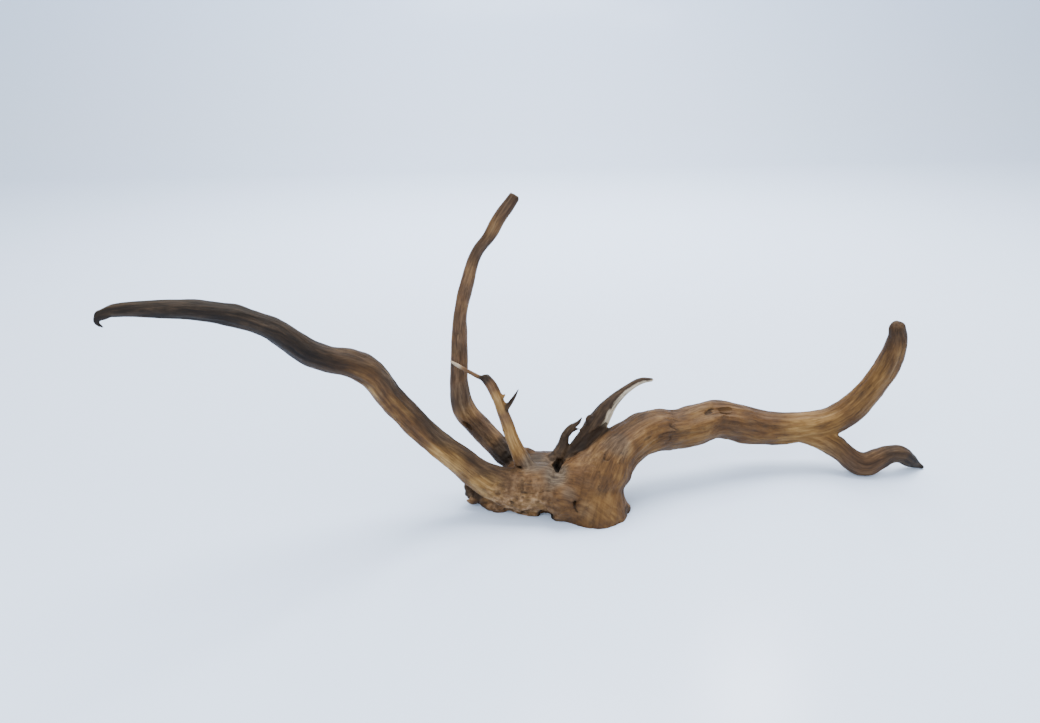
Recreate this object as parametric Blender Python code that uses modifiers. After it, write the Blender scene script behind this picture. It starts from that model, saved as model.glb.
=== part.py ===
"""A dry forked root, grown as one piece of wood and standing on its worn flat underside.

Units are metres and +Z is up. The stations of each limb are written in millimetres, as
(x, y, z, thickness), measured from the foot of the stump. The finished root is moved so that
its origin is the middle of its bounding box on the ground, with its longest side along X.
"""

from math import radians

import bmesh
import bpy
from mathutils import Euler, Matrix, Vector

MM = 0.001

# Driving dimensions, in millimetres.
GRAIN_CELL = 1.1          # size of the cells that fuse the limbs into one skin
TRIANGLES = 7400          # triangles kept in the finished skin
SMOOTHING_PASSES = 4
SMOOTHING_STRENGTH = 0.5
SWELL_SIZE = 17           # length of one swelling along the wood
SWELL_HEIGHT = 0.9        # how far a swelling stands out or sinks in
GROUND_BLOCK = (800, 400, 200)    # size of the block that trims the underside flat

# The main run of wood: the long left limb, through the stump, into the right limb.
LEFT_LIMB = [
    (-298, -97, 195, 4), (-290, -94, 196, 8.5), (-266, -82, 193, 12.4), (-231, -65, 184, 14.8),
    (-208, -52, 170.5, 15.8), (-198, -47, 161, 17.6), (-188, -41, 149.5, 18.6), (-173, -34, 140, 18.4),
    (-160, -29, 135, 20), (-146, -22, 122.5, 22), (-136, -18, 104, 21.6), (-121.5, -15, 84, 21),
    (-106, -13, 64.5, 21.4), (-88, -13, 48.5, 23), (-68, -14, 32, 25), (-48, -14, 22.5, 33),
    (-22, -12, 21, 41),
]
LEFT_TIP_HOOK = [(-293, -96, 194, 6), (-299, -98, 191, 3.6), (-296, -97, 186, 1.8)]
RIGHT_LIMB = [
    (8, -13, 22, 45), (24, -9, 28.5, 45), (37, 2, 40, 42), (52, 14, 47, 37), (69, 25, 50, 36),
    (87, 34, 47, 33.5), (106, 42, 47, 34), (127, 49, 48.8, 33), (148, 54, 43.8, 32.5),
    (168, 57, 38, 30.8), (188, 58, 36, 28), (206, 58, 36.5, 26.4), (223, 58, 39, 26),
    (237.5, 57, 46, 24.6), (250, 56, 57.5, 23), (261, 55, 72.5, 21.4), (269.5, 54, 88, 20.6),
    (274, 52, 105, 19), (275, 51, 118, 17), (273, 50, 126.5, 14),
]
RIGHT_FORK = [
    (206, 57, 32, 19), (220, 55, 27.5, 19), (232, 50, 22.5, 19), (240, 44, 17, 18.5),
    (248, 40, 11, 19), (257, 38, 9.2, 19), (267, 39, 13, 16.8), (278, 41, 17, 15.6),
    (288, 43, 15.8, 15.4), (297, 45, 9.6, 13.4), (304, 46, 4.6, 9.4), (310, 45, 1.8, 4.4),
]

# Limbs that rise from the stump.
UPRIGHT_LIMB = [
    (-39.5, 30, 242.5, 9.4), (-50.5, 30, 227.5, 10.6), (-60, 29.5, 212, 10.4), (-67.5, 28, 203, 9.6),
    (-75.8, 26, 181, 11), (-81.8, 25, 158, 11.2), (-83.8, 24, 140, 12), (-85.2, 23, 113, 13.6),
    (-86, 23, 95, 15), (-82, 23, 73, 18), (-68, 22, 55.5, 19.5), (-51, 16, 36.5, 20),
]
FRONT_TWIG = [
    (-30, -9, 25, 20), (-34, -9, 37, 16), (-39, -8, 49, 12.6), (-43.5, -7, 60, 10.8),
    (-48.5, -4.5, 75, 10.4), (-52.5, -3.5, 87, 9), (-56, -2, 97, 9.4), (-59.5, -1, 105, 9.2),
    (-63, 0, 109.5, 8.4),
]
PEELED_TWIG = [
    (-61, 0, 109, 5), (-66, 1, 109.5, 4.4), (-76, 1, 115, 3.8), (-84, 1, 120, 3.8), (-90, 1, 124, 2.6),
]
SIDE_TWIGLET = [(-50, -4, 84, 5), (-46.5, -4.5, 89, 4.4), (-43.5, -5, 93.5, 3.6), (-38.5, -7, 103, 2.4)]
TWIG_STUBS = [
    [(-50, -4, 84, 4), (-55, -5, 86.5, 3)],
    [(-46, -6, 68, 4), (-51, -8, 69, 2.6)],
]
ANTLER_TWIG = [
    (-15, 2, 26, 12), (-10, 5, 36, 11), (-4, 9, 47, 8.4), (-1, 11, 56, 6.6), (4, 11, 62.5, 5.2),
    (9, 11, 66.5, 3.6), (11.5, 11, 70.5, 2.4),
]
ANTLER_SPUR = [(1, 11, 59, 4.4), (6, 12, 59.5, 3), (9.5, 13, 60, 2)]
HORN = [
    (-9, 2, 26, 9), (-3, 5, 35, 8.5), (5, 8, 43, 10.5), (15, 11, 52.5, 13.6), (25, 15, 65, 16.6),
    (33, 18, 76, 13.6), (41.5, 21, 84.5, 9.4), (50, 23, 90.5, 7), (60, 25, 95.3, 6), (69, 27, 95.3, 4),
]

# The stump's own wood: the low left shelf, the foot, the crown and the broken edge on the left.
LEFT_SHELF = [(-70, 0, 9, 15), (-56, -3, 12, 24), (-36, -7, 14, 33), (-10, -10, 15, 40), (12, -15, 12, 46)]
FOOT = [(22, -8, 30, 42), (22, -13, 16, 45), (21, -17, 2, 49), (20, -17, -12, 50)]
LEFT_NUB = [(-62, 1, 11, 15), (-77, 1, 9.5, 12), (-82, 0, 13, 6), (-83, 0, 17, 4)]
FOOT_LIP = [(38, -18, 5, 12), (43, -16, 3, 10)]
FRONT_FILL = (-5, -17, 17), (24, 20, 20), (0, 0, 0)
CROWN = (-20, 6, 18), (36, 26, 22.5), (0, 0, 0)
CROWN_RIDGE = [(-38, 12, 40, 9), (-28, 14, 36, 9)]
BACK = (8, 8, 17), (34, 24, 20), (0, 0, 0)

# Hollows: the worn notch under the front edge and the rotten pocket in the crotch. The last
# three numbers are the hollow's turn about X, Y and Z in degrees.
FRONT_NOTCH = (-19, -28, 1), (7.5, 15, 8.5), (0, 0, 8)
CROTCH_POCKET = (-8, -5, 36), (4.5, 11, 9), (-25, -20, -10)

WOOD_COLOUR = (0.20, 0.115, 0.055, 1.0)
WOOD_ROUGHNESS = 0.62
EDGE_STEPS = 6            # steps along and around each limb's curve
END_STEPS = 3             # fineness of a limb's rounded end
LUMP_STEPS = 4            # fineness of an egg-shaped mass
SAME_POINT = 1e-6         # points nearer than this are one, in metres


def clear_scene():
    for thing in list(bpy.data.objects):
        bpy.data.objects.remove(thing, do_unlink=True)


def new_collection(name):
    collection = bpy.data.collections.new(name)
    bpy.context.scene.collection.children.link(collection)
    return collection


def wood_material():
    material = bpy.data.materials.new("dry_brown_wood")
    material.use_nodes = True
    shader = material.node_tree.nodes["Principled BSDF"]
    shader.inputs["Base Color"].default_value = WOOD_COLOUR
    shader.inputs["Roughness"].default_value = WOOD_ROUGHNESS
    shader.inputs["Metallic"].default_value = 0.0
    return material


def tapered_curve(name, stations, collection):
    """A curve through the stations, as thick at each one as the station says."""
    curve = bpy.data.curves.new(name, "CURVE")
    curve.dimensions = "3D"
    curve.bevel_depth = MM / 2
    curve.bevel_resolution = EDGE_STEPS
    curve.resolution_u = EDGE_STEPS
    curve.use_fill_caps = True
    spline = curve.splines.new("BEZIER")
    spline.radius_interpolation = "CARDINAL"
    spline.bezier_points.add(len(stations) - 1)
    for point, (x, y, z, thickness) in zip(spline.bezier_points, stations):
        point.co = Vector((x, y, z)) * MM
        point.radius = thickness
        point.handle_left_type = "AUTO"
        point.handle_right_type = "AUTO"
    obj = bpy.data.objects.new(name, curve)
    collection.objects.link(obj)
    return obj


def add_rounded_end(shape, station):
    x, y, z, thickness = station
    place = Matrix.Translation(Vector((x, y, z)) * MM)
    radius = thickness / 2 * MM
    bmesh.ops.create_icosphere(shape, subdivisions=END_STEPS, radius=radius, matrix=place)


def evaluated_mesh(obj):
    """The mesh that the object's curve or modifiers make."""
    bpy.context.view_layer.update()
    graph = bpy.context.evaluated_depsgraph_get()
    return bpy.data.meshes.new_from_object(obj.evaluated_get(graph))


def limb(name, stations, collection):
    """A tapered limb as a closed mesh with both ends rounded."""
    obj = tapered_curve(name, stations, collection)
    mesh = evaluated_mesh(obj)
    bpy.data.objects.remove(obj, do_unlink=True)
    shape = bmesh.new()
    shape.from_mesh(mesh)
    bmesh.ops.remove_doubles(shape, verts=shape.verts, dist=SAME_POINT)
    add_rounded_end(shape, stations[0])
    add_rounded_end(shape, stations[-1])
    bmesh.ops.recalc_face_normals(shape, faces=shape.faces)
    shape.to_mesh(mesh)
    shape.free()
    solid = bpy.data.objects.new(name, mesh)
    collection.objects.link(solid)
    return solid


def lump(name, centre, radii, turn, collection):
    """An egg-shaped mass of wood, or the egg-shaped cutter of a hollow."""
    mesh = bpy.data.meshes.new(name)
    shape = bmesh.new()
    angles = Euler([radians(angle) for angle in turn])
    place = Matrix.LocRotScale(Vector(centre) * MM, angles, Vector(radii) * MM)
    bmesh.ops.create_icosphere(shape, subdivisions=LUMP_STEPS, radius=1.0, matrix=place)
    shape.to_mesh(mesh)
    shape.free()
    solid = bpy.data.objects.new(name, mesh)
    collection.objects.link(solid)
    return solid


def grown_forms(collection):
    """Every limb and mass of the root, still as separate overlapping solids."""
    limbs = {
        "left_limb": LEFT_LIMB,
        "left_tip_hook": LEFT_TIP_HOOK,
        "right_limb": RIGHT_LIMB,
        "right_fork": RIGHT_FORK,
        "upright_limb": UPRIGHT_LIMB,
        "front_twig": FRONT_TWIG,
        "peeled_twig": PEELED_TWIG,
        "side_twiglet": SIDE_TWIGLET,
        "antler_twig": ANTLER_TWIG,
        "antler_spur": ANTLER_SPUR,
        "horn": HORN,
        "left_shelf": LEFT_SHELF,
        "foot": FOOT,
        "left_nub": LEFT_NUB,
        "foot_lip": FOOT_LIP,
        "crown_ridge": CROWN_RIDGE,
    }
    forms = [limb(name, stations, collection) for name, stations in limbs.items()]
    forms += [limb("twig_stub", stations, collection) for stations in TWIG_STUBS]
    forms.append(lump("front_fill", *FRONT_FILL, collection))
    forms.append(lump("crown", *CROWN, collection))
    forms.append(lump("back", *BACK, collection))
    return forms


def join_meshes(name, solids, collection):
    shape = bmesh.new()
    for solid in solids:
        shape.from_mesh(solid.data)
        bpy.data.objects.remove(solid, do_unlink=True)
    mesh = bpy.data.meshes.new(name)
    shape.to_mesh(mesh)
    shape.free()
    joined = bpy.data.objects.new(name, mesh)
    collection.objects.link(joined)
    return joined


def apply_modifiers(obj):
    mesh = evaluated_mesh(obj)
    obj.modifiers.clear()
    obj.data = mesh


def fuse_skin(root):
    """Fuses the overlapping forms into one skin with soft swellings, and thins its triangles."""
    remesh = root.modifiers.new("fuse", "REMESH")
    remesh.mode = "VOXEL"
    remesh.voxel_size = GRAIN_CELL * MM
    swelling = bpy.data.textures.new("swelling", "CLOUDS")
    swelling.noise_scale = SWELL_SIZE * MM
    swell = root.modifiers.new("swell", "DISPLACE")
    swell.texture = swelling
    swell.texture_coords = "LOCAL"
    swell.strength = 2 * SWELL_HEIGHT * MM
    swell.mid_level = 0.5
    smooth = root.modifiers.new("soften", "SMOOTH")
    smooth.factor = SMOOTHING_STRENGTH
    smooth.iterations = SMOOTHING_PASSES
    apply_modifiers(root)
    thin = root.modifiers.new("thin", "DECIMATE")
    thin.ratio = TRIANGLES / (2 * len(root.data.polygons))
    thin.use_collapse_triangulate = True
    apply_modifiers(root)


def ground_block(collection):
    """The block whose top face is the ground; it trims the underside flat."""
    mesh = bpy.data.meshes.new("ground_block")
    shape = bmesh.new()
    size = Vector(GROUND_BLOCK) * MM
    place = Matrix.Translation((0, 0, -size.z / 2))
    bmesh.ops.create_cube(shape, size=1.0, matrix=place @ Matrix.Diagonal((*size, 1)))
    shape.to_mesh(mesh)
    shape.free()
    block = bpy.data.objects.new("ground_block", mesh)
    collection.objects.link(block)
    return block


def cut(root, cutter):
    cutter.hide_render = True
    cutter.display_type = "WIRE"
    trim = root.modifiers.new("cut_" + cutter.name, "BOOLEAN")
    trim.operation = "DIFFERENCE"
    trim.solver = "EXACT"
    trim.object = cutter


def keep_largest_body(obj):
    """Drops any crumb that a cut has left loose."""
    shape = bmesh.new()
    shape.from_mesh(obj.data)
    waiting = set(shape.verts)
    bodies = []
    while waiting:
        start = waiting.pop()
        body, edge = {start}, [start]
        while edge:
            vert = edge.pop()
            for link in vert.link_edges:
                other = link.other_vert(vert)
                if other in waiting:
                    waiting.discard(other)
                    body.add(other)
                    edge.append(other)
        bodies.append(body)
    bodies.sort(key=len)
    for crumb in bodies[:-1]:
        bmesh.ops.delete(shape, geom=list(crumb), context="VERTS")
    shape.to_mesh(obj.data)
    shape.free()


def centre_on_ground(obj):
    """Moves the middle of the bounding box to X = Y = 0 and the underside to Z = 0."""
    points = [vert.co for vert in obj.data.vertices]
    low = Vector([min(p[i] for p in points) for i in range(3)])
    high = Vector([max(p[i] for p in points) for i in range(3)])
    middle = (low + high) / 2
    move = Vector((-middle.x, -middle.y, -low.z))
    obj.data.transform(Matrix.Translation(move))


def build():
    clear_scene()
    parts = new_collection("dry_forked_root")
    cutters = new_collection("cutters")
    root = join_meshes("driftwood_root", grown_forms(parts), parts)
    fuse_skin(root)
    cut(root, lump("front_notch", *FRONT_NOTCH, cutters))
    cut(root, lump("crotch_pocket", *CROTCH_POCKET, cutters))
    cut(root, ground_block(cutters))
    apply_modifiers(root)
    keep_largest_body(root)
    centre_on_ground(root)
    root.data.materials.clear()
    root.data.materials.append(wood_material())
    root.data.shade_smooth()


build()
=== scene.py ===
"""A dry forked root on a pale floor: one grown piece of wood, seen a little from above.

Limb stations are in millimetres, as (x, y, z, thickness), measured from the foot of the stump.
"""

from math import radians

import bmesh
import bpy
import numpy as np
from mathutils import Euler, Matrix, Vector


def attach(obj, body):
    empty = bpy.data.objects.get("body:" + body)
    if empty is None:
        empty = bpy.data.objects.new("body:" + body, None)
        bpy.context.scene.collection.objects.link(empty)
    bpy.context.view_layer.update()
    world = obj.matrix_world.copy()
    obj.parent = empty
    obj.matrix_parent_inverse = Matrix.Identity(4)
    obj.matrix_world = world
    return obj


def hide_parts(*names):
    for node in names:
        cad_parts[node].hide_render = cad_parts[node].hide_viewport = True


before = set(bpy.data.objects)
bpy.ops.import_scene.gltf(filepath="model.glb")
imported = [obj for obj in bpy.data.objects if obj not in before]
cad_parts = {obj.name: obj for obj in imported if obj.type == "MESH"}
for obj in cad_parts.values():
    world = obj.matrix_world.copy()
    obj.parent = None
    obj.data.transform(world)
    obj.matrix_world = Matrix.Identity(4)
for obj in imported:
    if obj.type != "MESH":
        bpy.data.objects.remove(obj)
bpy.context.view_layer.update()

MM = 0.001
STUMP_FOOT = (-5.62, 13.47, 0.0)   # where the stations' zero stands in the root's own frame

FIRST_CELL = 1.0        # cells that fuse the limbs
FINE_CELL = 0.74        # cells of the finished skin
TRIANGLES = 188000
CURVE_STEPS = 8
END_STEPS = 3
LUMP_STEPS = 4
SAME_POINT = 1e-6       # metres
SMOOTHING_STRENGTH = 0.5
LOWEST = -0.4           # the relief reaches no lower than this before the ground trims it

# The main run of wood: the long left limb, through the stump, into the right limb.
LEFT_LIMB = [
    (-298, -97, 195, 4), (-290, -94, 196, 8.5), (-266, -82, 193, 12.4), (-231, -65, 184, 14.8),
    (-208, -52, 170.5, 15.8), (-198, -47, 161, 17.6), (-188, -41, 149.5, 18.6), (-173, -34, 140, 18.4),
    (-160, -29, 135, 20), (-146, -22, 122.5, 22), (-136, -18, 104, 21.6), (-121.5, -15, 84, 21),
    (-106, -13, 64.5, 21.4), (-88, -13, 48.5, 23), (-68, -14, 32, 25), (-48, -14, 22.5, 33),
    (-22, -12, 21, 41),
]
LEFT_TIP_HOOK = [(-293, -96, 194, 6), (-299, -98, 191, 3.6), (-296, -97, 186, 1.8)]
RIGHT_LIMB = [
    (8, -13, 22, 45), (24, -9, 28.5, 45), (37, 2, 40, 42), (52, 14, 47, 37), (69, 25, 50, 36),
    (87, 34, 47, 33.5), (106, 42, 47, 34), (127, 49, 48.8, 33), (148, 54, 43.8, 32.5),
    (168, 57, 38, 30.8), (188, 58, 36, 28), (206, 58, 36.5, 26.4), (223, 58, 39, 26),
    (237.5, 57, 46, 24.6), (250, 56, 57.5, 23), (261, 55, 72.5, 21.4), (269.5, 54, 88, 20.6),
    (274, 52, 105, 19), (275, 51, 118, 17), (273, 50, 126.5, 14),
]
RIGHT_FORK = [
    (206, 57, 32, 19), (220, 55, 27.5, 19), (232, 50, 22.5, 19), (240, 44, 17, 18.5),
    (248, 40, 11, 19), (257, 38, 9.2, 19), (267, 39, 13, 16.8), (278, 41, 17, 15.6),
    (288, 43, 15.8, 15.4), (297, 45, 9.6, 13.4), (304, 46, 4.6, 9.4), (310, 45, 1.8, 4.4),
]

# Limbs that rise from the stump.
UPRIGHT_LIMB = [
    (-39.5, 30, 242.5, 9.4), (-50.5, 30, 227.5, 10.6), (-60, 29.5, 212, 10.4), (-67.5, 28, 203, 9.6),
    (-75.8, 26, 181, 11), (-81.8, 25, 158, 11.2), (-83.8, 24, 140, 12), (-85.2, 23, 113, 13.6),
    (-86, 23, 95, 15), (-82, 23, 73, 18), (-68, 22, 55.5, 19.5), (-51, 16, 36.5, 20),
]
FRONT_TWIG = [
    (-30, -9, 25, 20), (-34, -9, 37, 16), (-39, -8, 49, 12.6), (-43.5, -7, 60, 10.8),
    (-48.5, -4.5, 75, 10.4), (-52.5, -3.5, 87, 9), (-56, -2, 97, 9.4), (-59.5, -1, 105, 9.2),
    (-63, 0, 109.5, 8.4),
]
PEELED_TWIG = [
    (-61, 0, 109, 5), (-66, 1, 109.5, 4.4), (-76, 1, 115, 3.8), (-84, 1, 120, 3.8), (-90, 1, 124, 2.6),
]
SIDE_TWIGLET = [(-50, -4, 84, 5), (-46.5, -4.5, 89, 4.4), (-43.5, -5, 93.5, 3.6), (-38.5, -7, 103, 2.4)]
TWIG_STUBS = [
    [(-50, -4, 84, 4), (-55, -5, 86.5, 3)],
    [(-46, -6, 68, 4), (-51, -8, 69, 2.6)],
]
ANTLER_TWIG = [
    (-15, 2, 26, 12), (-10, 5, 36, 11), (-4, 9, 47, 8.4), (-1, 11, 56, 6.6), (4, 11, 62.5, 5.2),
    (9, 11, 66.5, 3.6), (11.5, 11, 70.5, 2.4),
]
ANTLER_SPUR = [(1, 11, 59, 4.4), (6, 12, 59.5, 3), (9.5, 13, 60, 2)]
HORN = [
    (-9, 2, 26, 9), (-3, 5, 35, 8.5), (5, 8, 43, 10.5), (15, 11, 52.5, 13.6), (25, 15, 65, 16.6),
    (33, 18, 76, 13.6), (41.5, 21, 84.5, 9.4), (50, 23, 90.5, 7), (60, 25, 95.3, 6), (69, 27, 95.3, 4),
]

# The stump's own wood: the low left shelf, the foot, the crown and the broken edge on the left.
LEFT_SHELF = [(-70, 0, 9, 15), (-56, -3, 12, 24), (-36, -7, 14, 33), (-10, -10, 15, 40), (12, -15, 12, 46)]
FOOT = [(22, -8, 30, 42), (22, -13, 16, 45), (21, -17, 2, 49), (20, -17, -12, 50)]
LEFT_NUB = [(-62, 1, 11, 15), (-77, 1, 9.5, 12), (-82, 0, 13, 6), (-83, 0, 17, 4)]
FOOT_LIP = [(38, -18, 5, 12), (43, -16, 3, 10)]
FRONT_FILL = (-5, -17, 17), (24, 20, 20), (0, 0, 0)
CROWN = (-20, 6, 18), (36, 26, 22.5), (0, 0, 0)
CROWN_RIDGE = [(-38, 12, 40, 9), (-28, 14, 36, 9)]
BACK = (8, 8, 17), (34, 24, 20), (0, 0, 0)

# Hollows worn or rotted into the stump: centre, radii and turn about X, Y and Z in degrees.
HOLLOWS = {
    "front_notch": ((-19, -28, 1), (7.5, 15, 8.5), (0, 0, 8)),
    "crotch_pocket": ((-8, -6, 35), (3.4, 11, 8), (-25, -24, -10)),
    "crotch_crack": ((2, -4, 38), (11, 8, 1.8), (-20, -36, 6)),
    "knot_hole": ((2, -33, 20), (3.2, 7, 3.0), (0, 0, 10)),
    "twig_hole": ((-39, -11, 40), (3.6, 6, 2.2), (0, 20, 0)),
    "limb_slit": ((131, 40, 64), (12, 5, 1.4), (-60, 3, 15)),
    "upright_slit": ((-80, 14, 64), (6.5, 5, 1.3), (0, 48, 0)),
    "upright_end": ((-36.2, 30, 246.9), (7, 7, 2.4), (0, 36, 0)),
}
HOLLOW_RAGGEDNESS = 1.3     # how far the walls of a hollow wander in and out
RAGGED_SIZE = 6.0

# Seams where the horn leaves the limb, below the knot hole and on the right limb: (x, y, z, width). They
# are carved in, and painted dark as painted shade in the groove.
SEAMS = [
    [(-6, -3, 40, 5), (6, 1, 47, 5), (18, 5, 56, 5), (30, 9, 64, 4)],
    [(2, -34, 20, 1.8), (3, -37, 14, 1.5), (5, -40, 7, 1.6), (7, -42, 1, 2.2)],
    [(117, 36, 61, 2.4), (125, 38.5, 64.5, 3.4), (134, 41, 64.5, 3.6), (142, 43.5, 62, 2)],
]
SEAM_DEPTH = 1.1
SEAM_SPREAD = 0.4
SEAM_WANDER = 0.8
SEAM_WANDER_SIZE = 5.0

# How the grain runs: down each limb and into the foot of the stump.
INTO_FOOT_FROM_LEFT = [(0, -14, 18, 40), (18, -18, 8, 44), (34, -20, -6, 46)]
INTO_FOOT_FROM_RIGHT = [(18, -20, -26, 50), (20, -18, -8, 50), (23, -14, 12, 46), (30, -5, 27, 44)]
GRAIN_RUNS = {
    "left": [LEFT_LIMB + INTO_FOOT_FROM_LEFT, LEFT_SHELF],
    "right": [INTO_FOOT_FROM_RIGHT + RIGHT_LIMB[2:]],
    "twigs": [
        UPRIGHT_LIMB, FRONT_TWIG, PEELED_TWIG, SIDE_TWIGLET, ANTLER_TWIG, ANTLER_SPUR, HORN,
        RIGHT_FORK, LEFT_TIP_HOOK, *TWIG_STUBS,
    ],
}
STEP_ALONG = 1.5        # spacing of the points that the grain follows
THINNEST = 0.8          # the least radius that a limb counts with
GRAIN_START = (0.31, 0.2, 0.93)    # a direction that no limb starts along
GRAIN_APART = 700       # keeps the pattern of one limb from repeating on the next
POINTS_AT_ONCE = 20000
SHARE_SHARPNESS = 7.0   # how quickly one limb's grain gives way to another's

# Where the wood is stained or bare, and where shade is painted on: (centre, reach, strength) for each
# tone.
TONES = {
    "dark": [
        ((-300, -97, 195), 60, 1.0), ((309, 45, 3), 44, 1.0), ((288, 42, 14), 34, 0.75),
        ((250, 42, 14), 40, 0.3), ((20, 8, 50), 15, 0.85), ((34, 18, 78), 12, 0.6),
        # The dark spot at (-52, 16, 40), round the foot of the upright limb, is painted shade; so is the
        # one at (-70, 18, 58) further up that foot.
        ((277, 50, 132), 30, 0.5), ((278, 50, 108), 26, 0.25), ((-52, 16, 40), 22, 0.95),
        ((-40, 32, 238), 26, 0.45), ((-64, 29, 206), 24, 0.5), ((-80, 20, 84), 26, 0.3),
        ((-84, 26, 128), 14, 0.15), ((-18, 10, 40), 16, 0.5), ((60, 18, 28), 22, 0.4),
        ((-36, 33, 246), 9, 0.8), ((-62, 0, 111), 6, 0.8), ((5, 9, 62), 16, 0.75),
        ((-8, 4, 34), 12, 0.85), ((-81, 0, 14), 10, 0.8), ((-86, 20, 128), 9, 0.45),
        ((-40, -6, 101), 9, 0.9), ((-70, 18, 58), 24, 0.55), ((-64, 0, 110), 8, 1.0),
        ((-14, 0, 44), 10, 0.6), ((-20, 0, 42), 16, 0.5), ((-150, -22, 134), 20, 0.55),
        # The next four dark spots, low on the shelf, the foot, the front notch and the fork where they
        # come down to the floor, are painted shade.
        ((-70, -6, 3), 12, 0.7), ((44, -22, 3), 9, 0.7), ((-20, -30, 4), 12, 0.6),
        ((258, 38, 2), 14, 0.5),
    ],
    "grey": [
        ((-26, -6, 40), 24, 0.9), ((-12, -18, 32), 20, 0.95), ((36, -8, 56), 19, 0.55),
        ((-2, -30, 24), 12, 0.6), ((-100, -6, 76), 26, 0.5), ((-134, -14, 120), 26, 0.55),
        ((-250, -74, 204), 60, 0.4), ((-4, 9, 52), 16, 0.5), ((12, -34, 14), 12, 0.25),
        ((-85, 16, 90), 20, 0.35),
    ],
    "gold": [
        ((-100, -22, 46), 30, 0.8), ((-66, -28, 28), 22, 0.85), ((-150, -34, 108), 16, 0.7),
        ((-44, -18, 62), 26, 0.75), ((-54, -8, 92), 14, 0.6), ((-36, -28, 10), 26, 0.5),
        ((24, -36, 16), 18, 0.25), ((212, 46, 36), 42, 0.6), ((258, 46, 74), 40, 0.35),
        ((60, 4, 40), 26, 0.3), ((100, 26, 34), 34, 0.25),
    ],
    "cream": [
        ((-88, 1, 123), 10, 0.6), ((-38, -14, 37), 3.5, 0.7), ((80, 12, 36), 4, 0.5),
    ],
    "rot": [
        # The spot at (-19, -24, 3) fills the front notch under the stump with painted shade.
        ((-8, -3, 33), 9, 1.0), ((-19, -24, 3), 11, 1.0), ((2, -29, 20), 3.4, 1.0),
        ((-39, -8, 40), 3.4, 0.9), ((131, 40, 64), 3.5, 0.9), ((124, 38, 65), 3, 0.8),
        # The spot at (-50, 10, 38), where the upright limb meets the stump, is painted shade.
        ((138, 42, 63), 3, 0.8), ((-50, 10, 38), 8, 0.8), ((-83, 0, 16), 4, 0.8),
        ((12, 4, 46), 7, 0.6), ((22, 12, 56), 5, 0.6),
    ],
}
TONE_WANDER = 0.35
TONE_WANDER_SIZE = 14.0
TONE_FULLNESS = 1.6     # above 1, a tone is full for some way round its centre

# Weathering of the left limb, in mm along it from the tip.
DARK_TO_ELBOW = 205
DARK_TO_STUMP = 372
DARK_FADE = 70
WEATHER_SIDE = (0.15, 0.35, 0.92)
WEATHER_ROUND = 0.55    # how far the dark top reaches round the limb
WEATHER_EDGE = 1.3
WEATHER_STRENGTH = 0.78

# The right limb is greyed a little where it faces up.
TOP_SIDE = (0.0, 0.25, 0.97)
TOP_FROM = 0.30
TOP_FADE = 0.6
TOP_GREY = 0.3

# Pitted, half-rotten or torn wood: (centre, reach, strength).
ROUGH_PLACES = [
    ((-40, -26, 10), 36, 1.0), ((-8, 2, 38), 15, 0.9), ((-80, 0, 10), 16, 1.0), ((2, 10, 58), 16, 0.45),
    ((44, -20, 4), 10, 0.8), ((-50, 12, 42), 12, 0.7), ((-36, 33, 246), 8, 0.5),
]

# The split in the horn, and the pale torn face on that side of it.
HORN_SPLIT = [(37, 7, 66, 5), (45, 11, 74, 7), (54, 15, 82, 5), (65, 19, 89, 3)]
HORN_SPREAD = 0.6
HORN_PALE_SIDE = (0.66, -0.58, -0.48)
HORN_PALE_FROM = 50     # mm along the horn from its hidden root
HORN_PALE_FADE = 8
PALE_FROM = 0.47
PALE_EDGE = 0.22
PALE_EDGE_SIZE = 6.0

# Twigs that are dark all round, and how dark.
DARK_LIMBS = [
    (HORN, 0.84), (ANTLER_TWIG, 0.84), (ANTLER_SPUR, 0.85), (SIDE_TWIGLET, 0.85), (LEFT_NUB, 0.85),
]
DARK_SPREAD = 0.55
LIMB_FADE = 0.6         # the part of a limb's spread over which its tone fades

# Small broken ends: thorns on the front twig and the horn, and spikes on the left nub.
THORNS = [
    [(-53, -4, 95, 4), (-49.5, -5, 97.5, 2.6), (-48.5, -5, 100, 1.4)],
    [(20, 12, 62, 8), (17, 12, 69, 6), (17.5, 12, 72, 3)],
]
NUB_SPIKES = [
    [(-78, -1, 11, 7), (-82, -2, 16, 4.5), (-83, -2, 21, 2)],
    [(-74, -4, 8, 7), (-79, -5, 6.5, 5), (-82, -5, 7, 2.2)],
    [(-56, -12, 5, 14), (-64, -10, 5, 9), (-69, -8, 5, 4.5)],
]

# Relief of the skin, in mm. A size of three numbers is along the grain and twice across it.
FULL_RADIUS = 12.0      # a limb of this radius carries the relief at its full height
LEAST_BODY = 0.25
MOST_BODY = 1.5
FLUTE_LENGTH = 58.0
FLUTE_WIDTH = 0.62      # of the limb's radius
FLUTE_HEIGHT = 0.95
RIDGE_SIZE = (26.0, 2.6, 2.6)
RIDGE_HEIGHT = 0.34
CRACK_SIZE = (34.0, 5.2, 5.2)
CRACK_PLACES_SIZE = (60.0, 16.0, 16.0)
CRACK_CONTRAST = 1.4
CRACK_RARITY = 0.40
CRACK_WIDTH = 0.11
CRACK_DEPTH = 1.7
SWELL_SIZE = 19.0
LEAST_SWELL = 0.2
SWELL_HEIGHT = 0.75
KNOB_SIZE = 7.5
KNOB_HEIGHT = 0.36
KNOB_MOST_BODY = 0.8
LUMP_SIZE = 6.5
LUMP_HEIGHT = 1.0
PIT_SIZE = 4.2
PIT_CONTRAST = 1.7
PIT_RARITY = 0.35
PIT_DEPTH = 1.6
# How strongly pits and furrows are painted darker, as painted shade in them.
PIT_SHADE = 0.9
FURROW_SHADE = 0.25

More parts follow.
